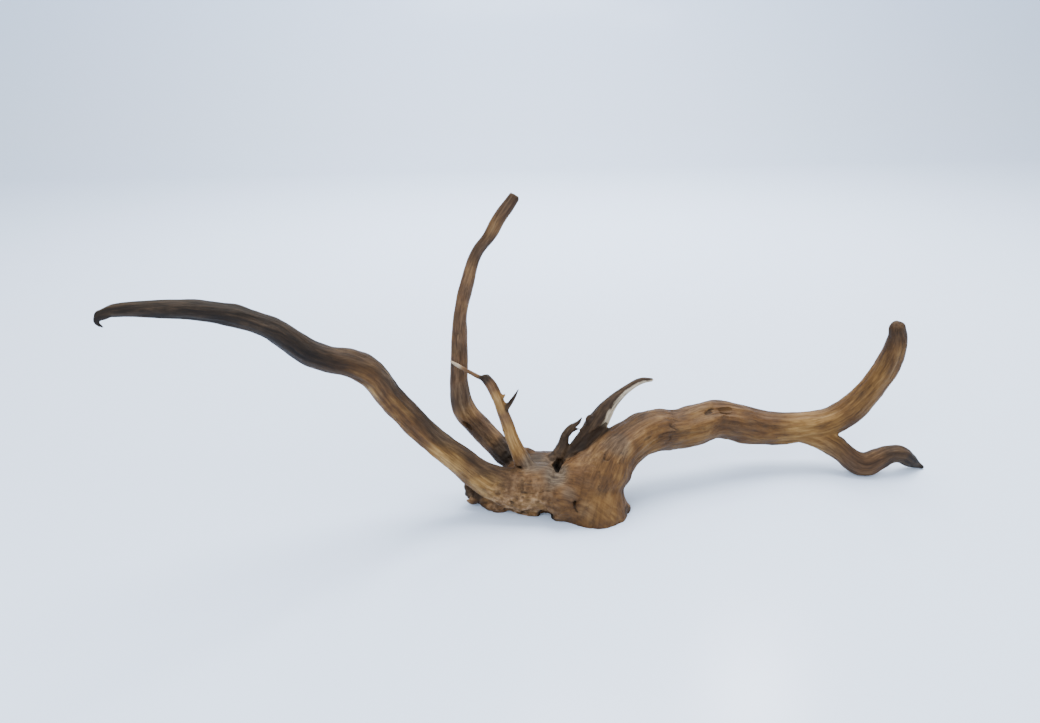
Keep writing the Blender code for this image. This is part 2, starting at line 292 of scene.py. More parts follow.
# Each kind of noise has its own seed, so that the root always grows the same.
SEEDS = {
    "flutes": 3, "ridges": 5, "cracks": 7, "swell": 11, "crack_places": 17, "pits": 23, "lumps": 29,
    "knobs": 31, "tone": 40, "ragged": 51, "seam": 61, "pale": 71,
}
NOISE_STEP = 2.03       # how much finer each layer of noise is than the one before


def smooth_step(value):
    value = np.clip(value, 0.0, 1.0)
    return value * value * (3 - 2 * value)


def lattice_value(cells, seed):
    """A repeatable value from -1 to 1 for each whole-numbered cell corner."""
    x, y, z = cells.astype(np.int64).T
    key = x * 73856093 ^ y * 19349663 ^ z * 83492791 ^ seed * 2654435
    key = (key ^ (key >> 13)) * 1274126177 & 0x7FFFFFFF
    key = (key ^ (key >> 16)) & 0xFFFF
    return key / 32767.5 - 1.0


def soft_noise(points, seed):
    """Smooth noise from -1 to 1 with features about one unit across."""
    corner = np.floor(points)
    part = smooth_step(points - corner)
    total = np.zeros(len(points))
    for offset in np.ndindex(2, 2, 2):
        weight = np.ones(len(points))
        for axis in range(3):
            weight *= part[:, axis] if offset[axis] else 1 - part[:, axis]
        total += weight * lattice_value(corner + offset, seed)
    return total


def layered_noise(points, kind, layers=2, offset=0):
    """Soft noise of one kind, with each layer finer and half as high as the one before."""
    total = np.zeros(len(points))
    for layer in range(layers):
        fine = soft_noise(points * NOISE_STEP**layer, SEEDS[kind] + offset + layer)
        total += 0.5**layer * fine
    return total


def curve_between(before, start, end, after):
    """Points on the smooth curve from start to end that heads for its two neighbours."""
    count = max(2, int(np.linalg.norm(end[:3] - start[:3]) / STEP_ALONG))
    t = np.linspace(0, 1, count, endpoint=False)[:, None]
    return 0.5 * (
        2 * start + (end - before) * t
        + (2 * before - 5 * start + 4 * end - after) * t**2
        + (3 * start - before - 3 * end + after) * t**3
    )


class Run:
    """A limb's centre line: evenly spaced points, thickness, length so far and untwisted side axes."""

    def __init__(self, stations):
        rows = np.array(stations, float)
        ends = np.vstack([2 * rows[0] - rows[1], rows, 2 * rows[-1] - rows[-2]])
        dense = [curve_between(*four) for four in zip(ends, ends[1:], ends[2:], ends[3:])]
        rows = np.vstack(dense + [rows[-1:]])
        self.centre = rows[:, :3]
        self.radius = np.maximum(rows[:, 3] / 2, THINNEST)
        self.tangent = np.gradient(self.centre, axis=0)
        self.tangent /= np.linalg.norm(self.tangent, axis=1)[:, None]
        steps = np.linalg.norm(np.diff(self.centre, axis=0), axis=1)
        self.along = np.concatenate([[0], np.cumsum(steps)])
        self.side = self.untwisted_sides()
        self.other = np.cross(self.tangent, self.side)

    def untwisted_sides(self):
        side = np.cross(self.tangent[0], GRAIN_START)
        sides = []
        for tangent in self.tangent:
            side = side - tangent * side.dot(tangent)
            side = side / np.linalg.norm(side)
            sides.append(side)
        return np.array(sides)

    def nearest(self, points):
        """The number of the centre point that lies nearest to each point."""
        near = np.empty(len(points), int)
        for start in range(0, len(points), POINTS_AT_ONCE):
            block = points[start:start + POINTS_AT_ONCE]
            gap = (block**2).sum(1)[:, None] - 2 * block @ self.centre.T + (self.centre**2).sum(1)
            near[start:start + POINTS_AT_ONCE] = gap.argmin(1)
        return near

    def straightened(self, points):
        """(closeness, along and two across in mm, local radius) of each point."""
        near = self.nearest(points)
        away = points - self.centre[near]
        ahead = (away * self.tangent[near]).sum(1)
        across_a = (away * self.side[near]).sum(1)
        across_b = (away * self.other[near]).sum(1)
        closeness = np.linalg.norm(away, axis=1) / self.radius[near]
        straight = np.stack([self.along[near] + ahead, across_a, across_b], axis=1)
        return closeness, straight, self.radius[near]


def on_closest(points, limbs):
    """Closeness, straightened place and local radius of each point on whichever limb is closest."""
    closest = np.full(len(points), np.inf)
    place = np.zeros((len(points), 3))
    radius = np.ones(len(points))
    for number, stations in enumerate(limbs):
        near, straight, local = Run(stations).straightened(points)
        take = near < closest
        closest[take] = near[take]
        place[take] = straight[take] + (GRAIN_APART * number, 0, 0)
        radius[take] = local[take]
    return closest, place, radius


def grain_of(points):
    """For each family of limbs, where each point is along its grain and the family's share of it."""
    found = {family: on_closest(points, limbs) for family, limbs in GRAIN_RUNS.items()}
    least = np.min([closeness for closeness, _, _ in found.values()], axis=0)
    weights = {f: np.exp(-SHARE_SHARPNESS * (found[f][0] - least)) for f in found}
    total = sum(weights.values())
    share = {f: weights[f] / total for f in found}
    grain = {f: found[f][1] for f in found}
    radius = sum(share[f] * found[f][2] for f in found)
    return grain, share, radius


def left_limb_weathering(grain, share, normals):
    """The left limb is dark to its elbow, and from there to the stump dark only on top."""
    along = grain["left"][:, 0]
    all_round = smooth_step((DARK_TO_ELBOW - along) / DARK_FADE)
    on_top = smooth_step(WEATHER_ROUND + WEATHER_EDGE * (normals @ np.array(WEATHER_SIDE)))
    on_top = on_top * smooth_step((DARK_TO_STUMP - along) / DARK_FADE)
    return share["left"] ** 2 * np.maximum(all_round, WEATHER_STRENGTH * on_top)


def top_greying(share, normals):
    facing_up = smooth_step((normals @ np.array(TOP_SIDE) - TOP_FROM) / TOP_FADE)
    return TOP_GREY * share["right"] * facing_up


def on_limb(points, stations, spread):
    """1 on a limb and for a part of its thickness around it, and how far along the limb each point is."""
    closeness, place, _ = Run(stations).straightened(points)
    return smooth_step((1 + spread - closeness) / (LIMB_FADE * spread)), place[:, 0]


def split_face(points, normals):
    """The pale torn face along the horn's lower side."""
    on_horn, along = on_limb(points, HORN, HORN_SPREAD)
    uneven = PALE_EDGE * layered_noise(points / PALE_EDGE_SIZE, "pale")
    facing = smooth_step((normals @ np.array(HORN_PALE_SIDE) - PALE_FROM + uneven) / PALE_EDGE)
    return on_horn * facing * smooth_step((along - HORN_PALE_FROM) / HORN_PALE_FADE)


def dark_limbs(points):
    darks = [strength * on_limb(points, limb, DARK_SPREAD)[0] for limb, strength in DARK_LIMBS]
    return np.max(darks, axis=0)


def seams(points):
    """1 along each seam, fading out to its width."""
    wandering = points + SEAM_WANDER * layered_noise(points / SEAM_WANDER_SIZE, "seam")[:, None]
    return np.max([on_limb(wandering, line, SEAM_SPREAD)[0] for line in SEAMS], axis=0)


def nearby(points, centre, reach):
    """1 at the centre, falling smoothly to 0 at the reach."""
    gap = np.linalg.norm(points - np.array(centre, float), axis=1)
    return smooth_step(1 - gap / reach)


def roughness_at(points):
    """How rough the wood is at each point, from 0 to 1."""
    rough = [s * nearby(points, centre, reach) ** 0.5 for centre, reach, s in ROUGH_PLACES]
    return np.max(rough, axis=0)


def tone(points, name):
    """How strongly each point has one of the tones, with wandering edges."""
    noise = layered_noise(points / TONE_WANDER_SIZE, "tone", layers=3, offset=len(name))
    wander = 1 + TONE_WANDER * noise
    total = np.zeros(len(points))
    for centre, reach, strength in TONES[name]:
        spot = smooth_step(nearby(points, centre, reach) * TONE_FULLNESS * wander)
        total = np.maximum(total, strength * spot)
    return np.clip(total, 0, 1)


def new_object(name, mesh):
    obj = bpy.data.objects.new(name, mesh)
    bpy.context.scene.collection.objects.link(obj)
    return obj


def tapered_curve(name, stations):
    """A curve through the stations, as thick at each one as the station says."""
    curve = bpy.data.curves.new(name, "CURVE")
    curve.dimensions = "3D"
    curve.bevel_depth = MM / 2
    curve.bevel_resolution = CURVE_STEPS
    curve.resolution_u = CURVE_STEPS
    curve.use_fill_caps = True
    spline = curve.splines.new("BEZIER")
    spline.radius_interpolation = "CARDINAL"
    spline.bezier_points.add(len(stations) - 1)
    for point, (x, y, z, thickness) in zip(spline.bezier_points, stations):
        point.co = Vector((x, y, z)) * MM
        point.radius = thickness
        point.handle_left_type = "AUTO"
        point.handle_right_type = "AUTO"
    return new_object(name, curve)


def read_evaluated(obj):
    """The mesh that an object's curve or modifiers make."""
    bpy.context.view_layer.update()
    graph = bpy.context.evaluated_depsgraph_get()
    return bpy.data.meshes.new_from_object(obj.evaluated_get(graph))


def add_limb(shape, stations):
    """Adds a tapered limb with both ends rounded."""
    curve = tapered_curve("limb_line", stations)
    mesh = read_evaluated(curve)
    bpy.data.objects.remove(curve, do_unlink=True)
    shape.from_mesh(mesh)
    bpy.data.meshes.remove(mesh)
    for x, y, z, thickness in (stations[0], stations[-1]):
        place = Matrix.Translation(Vector((x, y, z)) * MM)
        radius = thickness / 2 * MM
        bmesh.ops.create_icosphere(shape, subdivisions=END_STEPS, radius=radius, matrix=place)


def add_lump(shape, centre, radii, turn):
    """Adds an egg-shaped mass."""
    angles = Euler([radians(angle) for angle in turn])
    place = Matrix.LocRotScale(Vector(centre) * MM, angles, Vector(radii) * MM)
    bmesh.ops.create_icosphere(shape, subdivisions=LUMP_STEPS, radius=1.0, matrix=place)


def mesh_of(shape, name):
    bmesh.ops.remove_doubles(shape, verts=shape.verts, dist=SAME_POINT)
    bmesh.ops.recalc_face_normals(shape, faces=shape.faces)
    mesh = bpy.data.meshes.new(name)
    shape.to_mesh(mesh)
    shape.free()
    return mesh


def rough_forms():
    """All limbs and masses of the root as overlapping closed forms."""
    shape = bmesh.new()
    limbs = [
        LEFT_LIMB, LEFT_TIP_HOOK, RIGHT_LIMB, RIGHT_FORK, UPRIGHT_LIMB, FRONT_TWIG, PEELED_TWIG,
        SIDE_TWIGLET, *TWIG_STUBS, ANTLER_TWIG, ANTLER_SPUR, HORN, LEFT_SHELF, FOOT, LEFT_NUB,
        FOOT_LIP, CROWN_RIDGE, *NUB_SPIKES, *THORNS,
    ]
    for stations in limbs:
        add_limb(shape, stations)
    for mass in (FRONT_FILL, CROWN, BACK):
        add_lump(shape, *mass)
    return mesh_of(shape, "root_forms")


def hollow_forms():
    """The hollows and the horn's split, as closed forms with ragged walls."""
    shape = bmesh.new()
    for hollow in HOLLOWS.values():
        add_lump(shape, *hollow)
    add_limb(shape, HORN_SPLIT)
    mesh = mesh_of(shape, "hollow_forms")
    points = points_of(mesh)
    ragged = HOLLOW_RAGGEDNESS * layered_noise(points / RAGGED_SIZE, "ragged")
    move_points(mesh, points + normals_of(mesh) * ragged[:, None])
    return mesh


def settle(obj):
    """Replaces the object's mesh with what its modifiers make of it."""
    mesh = read_evaluated(obj)
    obj.modifiers.clear()
    obj.data = mesh


def fuse(obj, cell):
    remesh = obj.modifiers.new("fuse", "REMESH")
    remesh.mode = "VOXEL"
    remesh.voxel_size = cell * MM
    settle(obj)


def soften(obj, passes):
    smooth = obj.modifiers.new("soften", "SMOOTH")
    smooth.factor = SMOOTHING_STRENGTH
    smooth.iterations = passes
    settle(obj)


def carve(obj, cutter_mesh):
    cutter = new_object("hollow_cutter", cutter_mesh)
    trim = obj.modifiers.new("carve", "BOOLEAN")
    trim.operation = "DIFFERENCE"
    trim.solver = "MANIFOLD"
    trim.object = cutter
    settle(obj)
    bpy.data.objects.remove(cutter, do_unlink=True)


def points_of(mesh):
    """The mesh's points, in millimetres."""
    points = np.empty(len(mesh.vertices) * 3)
    mesh.vertices.foreach_get("co", points)
    return points.reshape(-1, 3) / MM


def normals_of(mesh):
    normals = np.empty(len(mesh.vertices) * 3)
    mesh.vertices.foreach_get("normal", normals)
    return normals.reshape(-1, 3)


def move_points(mesh, points):
    mesh.vertices.foreach_set("co", (points * MM).ravel())
    mesh.update()


def shared(grain, share, pattern):
    """A pattern worked out along each family's grain, and blended by their shares."""
    return sum(share[family] * pattern(grain[family]) for family in grain)


def ridges_in(place):
    return layered_noise(place / RIDGE_SIZE, "ridges")


def cracks_in(place):
    """1 along the middle of each crack, and 0 where the wood is whole."""
    line = np.abs(layered_noise(place / CRACK_SIZE, "cracks"))
    places = layered_noise(place / CRACK_PLACES_SIZE, "crack_places")
    return smooth_step(1 - line / CRACK_WIDTH) * smooth_step(places * CRACK_CONTRAST - CRACK_RARITY)


def flutes_in(place, radius):
    across = FLUTE_WIDTH * radius[:, None]
    scaled = np.hstack([place[:, :1] / FLUTE_LENGTH, place[:, 1:] / across])
    return layered_noise(scaled, "flutes")


def pits_in(points):
    return smooth_step(layered_noise(points / PIT_SIZE, "pits") * PIT_CONTRAST - PIT_RARITY)


def relief_of(points):
    """Each kind of relief at each point, with no height yet, and the body of wood that carries it."""
    grain, share, radius = grain_of(points)
    rough = roughness_at(points)
    return {
        "body": np.clip(radius / FULL_RADIUS, LEAST_BODY, MOST_BODY),
        "flutes": sum(share[f] * flutes_in(grain[f], radius) for f in grain),
        "ridges": shared(grain, share, ridges_in),
        "cracks": shared(grain, share, cracks_in),
        "swell": layered_noise(points / SWELL_SIZE, "swell"),
        "knobs": layered_noise(points / KNOB_SIZE, "knobs"),
        "lumps": layered_noise(points / LUMP_SIZE, "lumps") * rough,
        "pits": pits_in(points) * rough,
        "seams": seams(points),
    }


def height_of(relief):
    """How far the relief moves the skin out, in mm."""
    body = relief["body"]
    fine = np.minimum(body, 1)
    out = (LEAST_SWELL + SWELL_HEIGHT * body) * relief["swell"] + FLUTE_HEIGHT * body * relief["flutes"]
    out = out + RIDGE_HEIGHT * fine * relief["ridges"]
    out = out + LUMP_HEIGHT * relief["lumps"] - PIT_DEPTH * relief["pits"]
    out = out - CRACK_DEPTH * fine * relief["cracks"]
    out = out + KNOB_HEIGHT * np.minimum(body, KNOB_MOST_BODY) * relief["knobs"]
    return out - SEAM_DEPTH * relief["seams"]


def hollowness(relief):
    """How deep in a crack, a pit, a furrow or a seam each point lies, from 0 to 1; it sets the painted
    shade in these hollows.
    """
    cracks = relief["cracks"] * np.minimum(relief["body"], 1)
    furrows = FURROW_SHADE * np.clip(-relief["ridges"], 0, 1)
    hollow = np.clip(cracks + PIT_SHADE * relief["pits"] + furrows, 0, 1)
    return np.maximum(hollow, relief["seams"])


def carve_grain(mesh):
    """Moves the skin in and out by its relief, and stores where it is hollow, for the painted shade there.
    """
    points = points_of(mesh)
    normals = normals_of(mesh)
    relief = relief_of(points)
    points = points + normals * height_of(relief)[:, None]
    points[:, 2] = np.maximum(points[:, 2], LOWEST)
    move_points(mesh, points)
    set_attribute(mesh, "hollow", hollowness(relief))


def set_attribute(mesh, name, values):
    """Stores one number or three at every point of the mesh."""
    kind = "FLOAT" if values.ndim == 1 else "FLOAT_VECTOR"
    layer = mesh.attributes.new(name, kind, "POINT")
    layer.data.foreach_set("value" if kind == "FLOAT" else "vector", values.astype(np.float32).ravel())


def thin_out(obj, triangles):
    thin = obj.modifiers.new("thin", "DECIMATE")
    thin.ratio = min(1.0, triangles / (2 * len(obj.data.polygons)))
    thin.use_collapse_triangulate = True
    settle(obj)


def stand_flat(obj):
    """Trims the underside flat at the ground and closes it."""
    shape = bmesh.new()
    shape.from_mesh(obj.data)
    everything = shape.verts[:] + shape.edges[:] + shape.faces[:]
    bmesh.ops.bisect_plane(
        shape, geom=everything, plane_co=(0, 0, 0), plane_no=(0, 0, -1), clear_outer=True
    )
    rim = [edge for edge in shape.edges if edge.is_boundary]
    bmesh.ops.triangle_fill(shape, edges=rim, use_beauty=True, normal=(0, 0, -1))
    empty = [face for face in shape.faces if face.calc_area() == 0]
    bmesh.ops.delete(shape, geom=empty, context="FACES_ONLY")
    shape.to_mesh(obj.data)
    shape.free()


def write_tones(mesh):
    """Stores the grain's direction and the tones of the wood on the skin, with the painted shade among
    them.
    """
    points = points_of(mesh)
    normals = normals_of(mesh)
    grain, share, _ = grain_of(points)
    for family in grain:
        set_attribute(mesh, "grain_" + family, grain[family])
    set_attribute(mesh, "share", np.stack([share[family] for family in grain], axis=1))
    # Dark holds stains, weathering and bark, and also painted shade low on the stump where it meets the
    # floor and round the foot of the upright limb.
    dark = np.maximum(tone(points, "dark"), left_limb_weathering(grain, share, normals))
    dark = np.maximum(dark, dark_limbs(points))
    grey = np.maximum(tone(points, "grey"), top_greying(share, normals))
    cream = np.maximum(tone(points, "cream"), split_face(points, normals))
    set_attribute(mesh, "stain_and_painted_shade", np.stack([dark, grey, tone(points, "gold")], axis=1))
    set_attribute(mesh, "bare", np.stack([cream, tone(points, "rot"), roughness_at(points)], axis=1))


def grow_root():
    """The whole root as one closed skin, with its relief and its tones."""
    root = new_object("dry_root_skin", rough_forms())
    fuse(root, FIRST_CELL)
    soften(root, 3)
    carve(root, hollow_forms())
    fuse(root, FINE_CELL)
    soften(root, 2)
    carve_grain(root.data)
    soften(root, 1)
    thin_out(root, TRIANGLES)
    stand_flat(root)
    write_tones(root.data)
    root.data.transform(Matrix.Translation(Vector(STUMP_FOOT) * MM))
    root.data.shade_smooth()
    return root


class Wiring:
    """Adds nodes to one node tree and links them, in the order that they are used."""

    def __init__(self, tree):
        self.tree = tree

    def node(self, kind, **settings):
        node = self.tree.nodes.new(kind)
        for name, value in settings.items():
            setattr(node, name, value)
        return node

    def link(self, source, target):
        self.tree.links.new(source, target)

    def feed(self, socket, value):
        """Links a socket, or sets a number on it."""
        if isinstance(value, bpy.types.NodeSocket):
            self.link(value, socket)
        else:
            socket.default_value = value

    def math(self, operation, first, second=0.0):
        node = self.node("ShaderNodeMath", operation=operation)
        self.feed(node.inputs[0], first)
        self.feed(node.inputs[1], second)
        return node.outputs[0]

    def times(self, first, second):
        return self.math("MULTIPLY", first, second)

    def plus(self, first, second):
        return self.math("ADD", first, second)

    def minus(self, first, second):
        return self.math("SUBTRACT", first, second)

    def more_of(self, first, second):
        return self.math("MAXIMUM", first, second)

    def stretch(self, vector, scale):
        node = self.node("ShaderNodeVectorMath", operation="MULTIPLY")
        self.feed(node.inputs[0], vector)
        node.inputs[1].default_value = scale
        return node.outputs[0]

    def noise(self, vector, detail, roughness=0.55):
        node = self.node("ShaderNodeTexNoise")
        self.link(vector, node.inputs["Vector"])
        node.inputs["Scale"].default_value = 1.0
        node.inputs["Detail"].default_value = detail
        node.inputs["Roughness"].default_value = roughness
        return node.outputs["Fac"]

    def ramp(self, value, stops):
        """A colour that runs through the (place, colour) stops as the value rises."""
        node = self.node("ShaderNodeValToRGB")
        elements = node.color_ramp.elements
        while len(elements) < len(stops):
            elements.new(0.5)
        for element, (place, colour) in zip(elements, stops):
            element.position = place
            element.color = (*colour, 1.0)
        self.feed(node.inputs["Fac"], value)
        return node.outputs["Color"]

    def mix(self, amount, first, second):
        """Lays the second colour over the first by the amount."""
        node = self.node("ShaderNodeMix", data_type="RGBA")
        self.feed(node.inputs["Factor"], amount)
        for socket, colour in ((node.inputs[6], first), (node.inputs[7], second)):
            self.feed(socket, colour if isinstance(colour, bpy.types.NodeSocket) else (*colour, 1.0))
        return node.outputs[2]

    def spread(self, value, low, high):
        """Maps low..high to 0..1, held inside that range."""
        node = self.node("ShaderNodeMapRange")
        self.feed(node.inputs["Value"], value)
        node.inputs["From Min"].default_value = low
        node.inputs["From Max"].default_value = high
        return node.outputs["Result"]

    def stored(self, name, output="Vector"):
        return self.node("ShaderNodeAttribute", attribute_name=name).outputs[output]

    def split(self, vector):
        node = self.node("ShaderNodeSeparateXYZ")
        self.link(vector, node.inputs[0])
        return node.outputs


# Grain patterns: how long and how wide each mark is, in mm.
STREAK_SIZE = (26, 2.6)
FIBRE_SIZE = (8, 0.75)
BAND_SIZE = (90, 11)
CHECK_SIZE = (38, 2.4)
PATTERNS = ("Streak", "Fibre", "Band", "Check")


def grain_group():
    """Streaks, fibres, bands and drying checks along a straightened limb."""
    group = bpy.data.node_groups.new("grain_pattern", "ShaderNodeTree")
    group.interface.new_socket("Place", in_out="INPUT", socket_type="NodeSocketVector")
    for name in PATTERNS:
        group.interface.new_socket(name, in_out="OUTPUT", socket_type="NodeSocketFloat")
    wire = Wiring(group)
    start = wire.node("NodeGroupInput").outputs["Place"]
    finish = wire.node("NodeGroupOutput")

    def marks(size, detail, roughness=0.55):
        length, width = size
        return wire.noise(wire.stretch(start, (1 / length, 1 / width, 1 / width)), detail, roughness)

    checks = wire.math("ABSOLUTE", wire.minus(marks(CHECK_SIZE, 2), 0.5))
    wire.link(marks(STREAK_SIZE, 5, 0.6), finish.inputs["Streak"])
    wire.link(marks(FIBRE_SIZE, 3, 0.6), finish.inputs["Fibre"])
    wire.link(marks(BAND_SIZE, 3), finish.inputs["Band"])
    wire.link(checks, finish.inputs["Check"])
    return group


def blended_grain(wire, shares):
    """The four grain patterns, blended where one family of limbs meets another."""
    group = grain_group()
    totals = {}
    for number, family in enumerate(GRAIN_RUNS):
        pattern = wire.node("ShaderNodeGroup", node_tree=group)
        wire.link(wire.stored("grain_" + family), pattern.inputs["Place"])
        for name in PATTERNS:
            part = wire.times(pattern.outputs[name], shares[number])
            totals[name] = wire.plus(totals[name], part) if name in totals else part
    return totals


# Colours of each kind of wood, from its darkest marks to its palest: (place, colour).
BROWN_WOOD = [
    (0.12, (0.0180, 0.0074, 0.0021)), (0.34, (0.0490, 0.0212, 0.0060)), (0.54, (0.0790, 0.0355, 0.0104)),
    (0.74, (0.1120, 0.0540, 0.0166)), (0.94, (0.1800, 0.0960, 0.0350)),
]
# Also the colour of the painted shade among the dark tones.
DARK_WOOD_AND_SHADE = [
    (0.25, (0.0028, 0.0017, 0.0011)), (0.48, (0.0082, 0.0051, 0.0031)), (0.66, (0.0230, 0.0145, 0.0088)),
    (0.86, (0.0480, 0.0320, 0.0205)),
]
GREY_WOOD = [
    (0.22, (0.0160, 0.0118, 0.0082)), (0.48, (0.0540, 0.0410, 0.0290)), (0.75, (0.1300, 0.1040, 0.0760)),
    (0.94, (0.2500, 0.2080, 0.1580)),
]
GOLD_WOOD = [
    (0.20, (0.0900, 0.0400, 0.0090)), (0.48, (0.2000, 0.1030, 0.0270)), (0.78, (0.3600, 0.2160, 0.0740)),
]
ROSE_WOOD = [
    (0.20, (0.0280, 0.0130, 0.0066)), (0.50, (0.0900, 0.0480, 0.0260)), (0.80, (0.1800, 0.1080, 0.0640)),
]
CREAM_WOOD = [(0.25, (0.1700, 0.1150, 0.0640)), (0.60, (0.4700, 0.3900, 0.2800))]
TORN_WOOD = [
    (0.34, (0.0300, 0.0150, 0.0070)), (0.48, (0.1500, 0.0800, 0.0360)), (0.64, (0.4000, 0.2500, 0.1400)),
]
# Near black for rot and drying checks, and for the painted shade in the front notch and where the upright
# limb meets the stump.
ROTTEN_WOOD_AND_SHADE = (0.010, 0.007, 0.005)
# Painted shade in cracks, pits, furrows and seams.
HOLLOW_SHADE = (0.020, 0.0115, 0.0065)


# Patterns that aren't along the grain: how many marks there are to a metre.
MOTTLES = 52
SPECKS = 240

# The figure of the wood: how much of each pattern shows in it.
STREAK_FIGURE = 0.62
BAND_FIGURE = 0.48
FIBRE_FIGURE = 0.30
MOTTLE_FIGURE = 0.18
FIGURE_SHIFT = 0.20
FIGURE_RANGE = (0.22, 0.78)

# Where the mottling turns golden or grey by itself, and how strongly.
GOLD_MOTTLES = (0.48, 0.76)
GREY_MOTTLES = (0.49, 0.26)
MOTTLE_STRENGTH = 0.34
CHECK_LINE = (0.035, 0.0)
CHECK_BANDS = (0.53, 0.66)

# How strongly each kind of wood, and each painted shade, lies over the brown.
ROSE_STRENGTH = 0.5
GREY_STRENGTH = 0.85
TORN_STRENGTH = 0.55
DARK_STRENGTH = 0.94
CHECK_STRENGTH = 0.6
HOLLOW_SHADE_STRENGTH = 0.78
ROT_AND_SHADE_STRENGTH = 0.96

WOOD_ROUGHNESS = 0.50
FIBRE_ROUGHNESS = 0.30
WOOD_SPECULAR = 0.17
FIBRE_BUMP = 0.55
CHECK_BUMP = 0.7
BUMP_STRENGTH = 0.75
BUMP_HEIGHT = 0.9       # mm


def figure_of(wire, grain, mottle):
    """How light or dark the wood's own marks are, from 0 to 1."""
    figure = wire.times(grain["Streak"], STREAK_FIGURE)
    figure = wire.plus(figure, wire.times(grain["Band"], BAND_FIGURE))
    figure = wire.plus(figure, wire.times(grain["Fibre"], FIBRE_FIGURE))
    figure = wire.minus(figure, FIGURE_SHIFT)
    figure = wire.plus(figure, wire.times(wire.minus(mottle, 0.5), MOTTLE_FIGURE))
    return wire.spread(figure, *FIGURE_RANGE)


def drying_checks(wire, grain):
    line = wire.spread(grain["Check"], *CHECK_LINE)
    return wire.times(line, wire.spread(grain["Band"], *CHECK_BANDS))


def wood_colour(wire, twigs, grain, check):
    """Brown wood, with the stains, the bare places and the painted shade of the hollows laid over it in
    turn; some dark and rot spots are painted shade as well.
    """
    place = wire.node("ShaderNodeTexCoord").outputs["Object"]
    mottle = wire.noise(wire.stretch(place, [MOTTLES] * 3), 4)
    speck = wire.noise(wire.stretch(place, [SPECKS] * 3), 4)
    figure = figure_of(wire, grain, mottle)
    # The dark tone holds painted shade as well as stains.
    dark, grey, gold = wire.split(wire.stored("stain_and_painted_shade"))
    # Rot holds some painted shade as well.
    cream, rot, torn = wire.split(wire.stored("bare"))
    golden = wire.more_of(gold, wire.times(wire.spread(mottle, *GOLD_MOTTLES), MOTTLE_STRENGTH))
    faded = wire.more_of(grey, wire.times(wire.spread(mottle, *GREY_MOTTLES), MOTTLE_STRENGTH))
    layers = [
        (wire.times(twigs, ROSE_STRENGTH), wire.ramp(figure, ROSE_WOOD)),
        (golden, wire.ramp(figure, GOLD_WOOD)),
        (wire.times(faded, GREY_STRENGTH), wire.ramp(figure, GREY_WOOD)),
        (wire.times(torn, TORN_STRENGTH), wire.ramp(speck, TORN_WOOD)),
        # Dark stains and bark, with the painted shade under the stump and round the upright limb's foot.
        (wire.times(dark, DARK_STRENGTH), wire.ramp(figure, DARK_WOOD_AND_SHADE)),
        (cream, wire.ramp(figure, CREAM_WOOD)),
        (wire.times(check, CHECK_STRENGTH), ROTTEN_WOOD_AND_SHADE),
        # Painted shade in the hollows, by how deep they lie.
        (wire.times(wire.stored("hollow", "Fac"), HOLLOW_SHADE_STRENGTH), HOLLOW_SHADE),
        # Rot, with painted shade in the front notch and where the upright limb meets the stump.
        (wire.times(rot, ROT_AND_SHADE_STRENGTH), ROTTEN_WOOD_AND_SHADE),
    ]
    colour = wire.ramp(figure, BROWN_WOOD)
    for amount, layer in layers:
        colour = wire.mix(amount, colour, layer)
    return colour


def fine_relief(wire, grain, check):
    """The bump of the streaks, the fibres and the drying checks."""
    height = wire.plus(grain["Streak"], wire.times(grain["Fibre"], FIBRE_BUMP))
    height = wire.minus(height, wire.times(check, CHECK_BUMP))
    bump = wire.node("ShaderNodeBump")
    bump.inputs["Strength"].default_value = BUMP_STRENGTH
    bump.inputs["Distance"].default_value = BUMP_HEIGHT * MM
    wire.link(height, bump.inputs["Height"])
    return bump.outputs["Normal"]


def weathered_wood():
    material = bpy.data.materials.new("weathered_dry_wood")
    material.use_nodes = True
    wire = Wiring(material.node_tree)
    shader = material.node_tree.nodes["Principled BSDF"]
    shares = wire.split(wire.stored("share"))
    grain = blended_grain(wire, shares)
    check = drying_checks(wire, grain)
    twigs = shares[list(GRAIN_RUNS).index("twigs")]
    rough = wire.plus(wire.times(grain["Fibre"], FIBRE_ROUGHNESS), WOOD_ROUGHNESS)
    wire.link(wood_colour(wire, twigs, grain, check), shader.inputs["Base Color"])
    wire.link(rough, shader.inputs["Roughness"])
    wire.link(fine_relief(wire, grain, check), shader.inputs["Normal"])
    shader.inputs["Specular IOR Level"].default_value = WOOD_SPECULAR
    return material


# The floor and the backdrop that it sweeps up into, in metres.
FLOOR_COLOUR = (0.67, 0.79, 1.0, 1.0)
FLOOR_WIDTH = 16.0
FLOOR_FRONT = 6.0
FLOOR_BACK = 2.4
SWEEP_RADIUS = 0.9
SWEEP_ANGLE = 85        # degrees
SWEEP_STEPS = 16
FLOOR_ROUGHNESS = 0.22
FLOOR_SPECULAR = 0.30


def floor_sweep():
    """A flat floor that curves up into a backdrop."""
    shape = bmesh.new()
    ends = [shape.verts.new((side * FLOOR_WIDTH / 2, -FLOOR_FRONT, 0)) for side in (-1, 1)]
    moved = bmesh.ops.extrude_edge_only(shape, edges=[shape.edges.new(ends)])["geom"]
    corners = [thing for thing in moved if isinstance(thing, bmesh.types.BMVert)]
    bmesh.ops.translate(shape, verts=corners, vec=(0, FLOOR_FRONT + FLOOR_BACK, 0))
    edge = next(thing for thing in moved if isinstance(thing, bmesh.types.BMEdge))
    bmesh.ops.spin(
        shape, geom=[edge, *edge.verts], cent=(0, FLOOR_BACK, SWEEP_RADIUS), axis=(1, 0, 0),
        angle=radians(SWEEP_ANGLE), steps=SWEEP_STEPS,
    )
    bmesh.ops.recalc_face_normals(shape, faces=shape.faces)
    mesh = bpy.data.meshes.new("pale_floor")
    shape.to_mesh(mesh)
    shape.free()
    mesh.shade_smooth()
    return mesh


